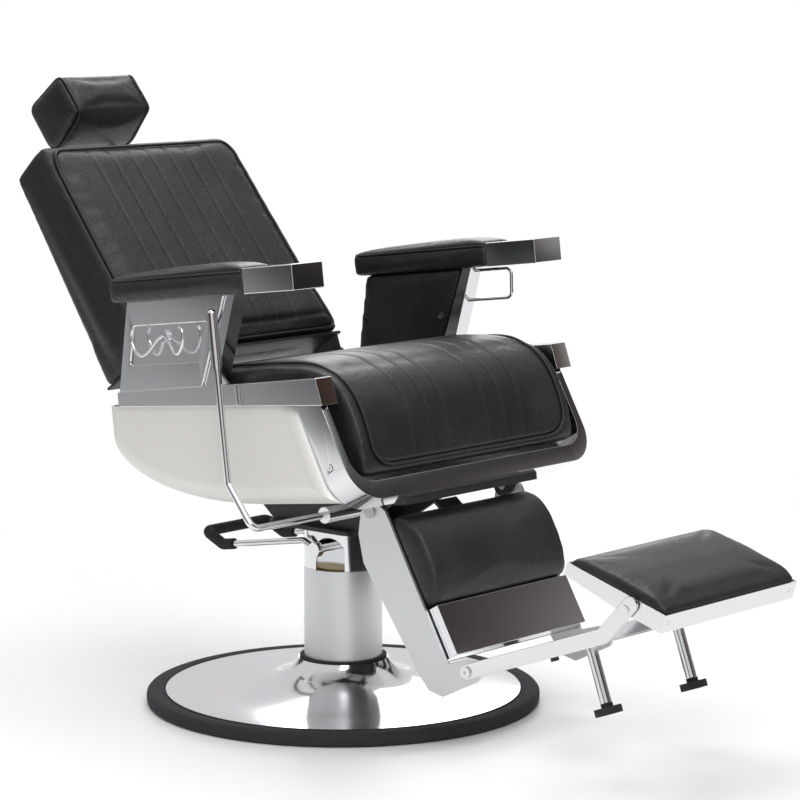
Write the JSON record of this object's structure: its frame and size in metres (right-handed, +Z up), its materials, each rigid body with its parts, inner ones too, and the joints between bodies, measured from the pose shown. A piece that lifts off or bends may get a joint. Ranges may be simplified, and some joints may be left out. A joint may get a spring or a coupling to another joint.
{
  "type": "hydraulic barber chair",
  "caption": "Hydraulic barber chair with padded seat, arms, reclining back, sliding headrest, leg rest with flip-over foot pad, pump lever and round base.",
  "frame": {"origin": "on the floor at the axis of the hydraulic column", "axes": "+Z up, front of the chair towards -Y, sitter's right towards -X"},
  "size_m": [0.71, 1.5501, 1.0967],
  "materials": {
    "black_leather": "satin pebbled grain",
    "chrome_plate": "bright plated",
    "polished_aluminium": "polished casting",
    "white_enamel": "gloss enamel",
    "black_rubber": "matt",
    "black_steel": "satin black paint",
    "zinc_steel": "zinc plated",
    "bearing_bronze": "oiled bronze"
  },
  "bodies": {
    "base": {"base_trim_ring": "black_rubber", "base_plate": "black_steel", "base_dish": "chrome_plate", "flange_bolts": "zinc_steel", "column_sleeve": "polished_aluminium", "column_seal": "black_rubber", "pump_cylinder": "zinc_steel"},
    "ram": {"pump_ram": "chrome_plate", "swivel_bearing": "bearing_bronze"},
    "seat": {"pump_head": "chrome_plate", "mount_bolts": "zinc_steel", "underframe": "black_steel", "front_crossbar": "black_steel", "seat_shell": "white_enamel", "side_rails": "chrome_plate", "rear_rail": "chrome_plate", "front_frame": "chrome_plate", "seat_screws": "chrome_plate", "seat_cushion": "black_leather", "arm_panels": "chrome_plate", "inner_pad_right": "black_leather", "inner_pad_left": "black_leather", "pad_buttons": "chrome_plate", "arm_struts": "chrome_plate", "towel_loop": "chrome_plate", "arm_blocks": "chrome_plate", "arm_pad_right": "black_leather", "arm_pad_left": "black_leather", "towel_hook": "chrome_plate", "recline_brackets": "black_steel", "hinge_pins": "zinc_steel", "recline_hub": "chrome_plate"},
    "pump_lever": {"lever_axle": "chrome_plate", "pump_lever": "chrome_plate", "lever_grip": "black_rubber"},
    "recline_lever": {"recline_lever": "chrome_plate", "lever_handle": "chrome_plate"},
    "backrest": {"back_cushion": "black_leather", "back_board": "black_steel", "back_frame": "black_steel", "hinge_tube": "chrome_plate", "headrest_guides": "chrome_plate"},
    "headrest": {"headrest_bars": "chrome_plate", "headrest_rivets": "chrome_plate", "headrest_pad": "black_leather"},
    "leg_rest": {"leg_plate_right": "polished_aluminium", "leg_plate_left": "polished_aluminium", "calf_pad": "black_leather", "calf_board": "black_steel", "kick_plate": "chrome_plate", "arm_pivot_bolts": "chrome_plate"},
    "footrest": {"footrest_arms": "chrome_plate", "footrest_crossbar": "chrome_plate", "support_legs": "chrome_plate", "support_feet": "black_rubber", "arm_bumpers": "black_rubber", "pad_pivot_screws": "chrome_plate"},
    "foot_pad": {"foot_tray": "chrome_plate", "foot_cushion": "black_leather", "tray_rivets": "chrome_plate"}
  },
  "joints": [
    {"name": "lift", "type": "slide", "parent": "base", "child": "ram", "axis": [0, 0, 1], "range_m": [0, 0.15]},
    {"name": "swivel", "type": "hinge", "parent": "ram", "child": "seat", "pos_m": [0, 0, 0.28], "axis": [0, 0, 1], "continuous": true},
    {"name": "recline", "type": "hinge", "parent": "seat", "child": "backrest", "pos_m": [0, 0.24774, 0.56884], "axis": [-1, 0, 0], "range_deg": [-22, 25]},
    {"name": "leg_rest_tilt", "type": "hinge", "parent": "seat", "child": "leg_rest", "pos_m": [0, -0.22773, 0.38975], "axis": [-1, 0, 0], "range_deg": [-11, 12.5]},
    {"name": "headrest_slide", "type": "slide", "parent": "backrest", "child": "headrest", "axis": [0, 0.6157, 0.788], "range_m": [-0.045, 0.055]},
    {"name": "footrest_fold", "type": "hinge", "parent": "leg_rest", "child": "footrest", "pos_m": [0, -0.44462, 0.15009], "axis": [-1, 0, 0], "range_deg": [0, 35]},
    {"name": "foot_pad_flip", "type": "hinge", "parent": "footrest", "child": "foot_pad", "pos_m": [0, -0.76657, 0.29909], "axis": [1, 0, 0], "range_deg": [0, 180]},
    {"name": "recline_lever_pull", "type": "hinge", "parent": "seat", "child": "recline_lever", "pos_m": [0, -0.118, 0.37], "axis": [1, 0, 0], "range_deg": [0, 18], "stiffness_Nm_per_rad": 6, "springref_deg": -20.05},
    {"name": "pump_lever_stroke", "type": "hinge", "parent": "seat", "child": "pump_lever", "pos_m": [0, -0.008, 0.2826], "axis": [1, 0, 0], "range_deg": [-25, 5], "stiffness_Nm_per_rad": 8, "springref_deg": 2.86}
  ],
  "couplings": [
    {"joint": "leg_rest_tilt", "follows": "recline", "ratio": 0.5}
  ]
}
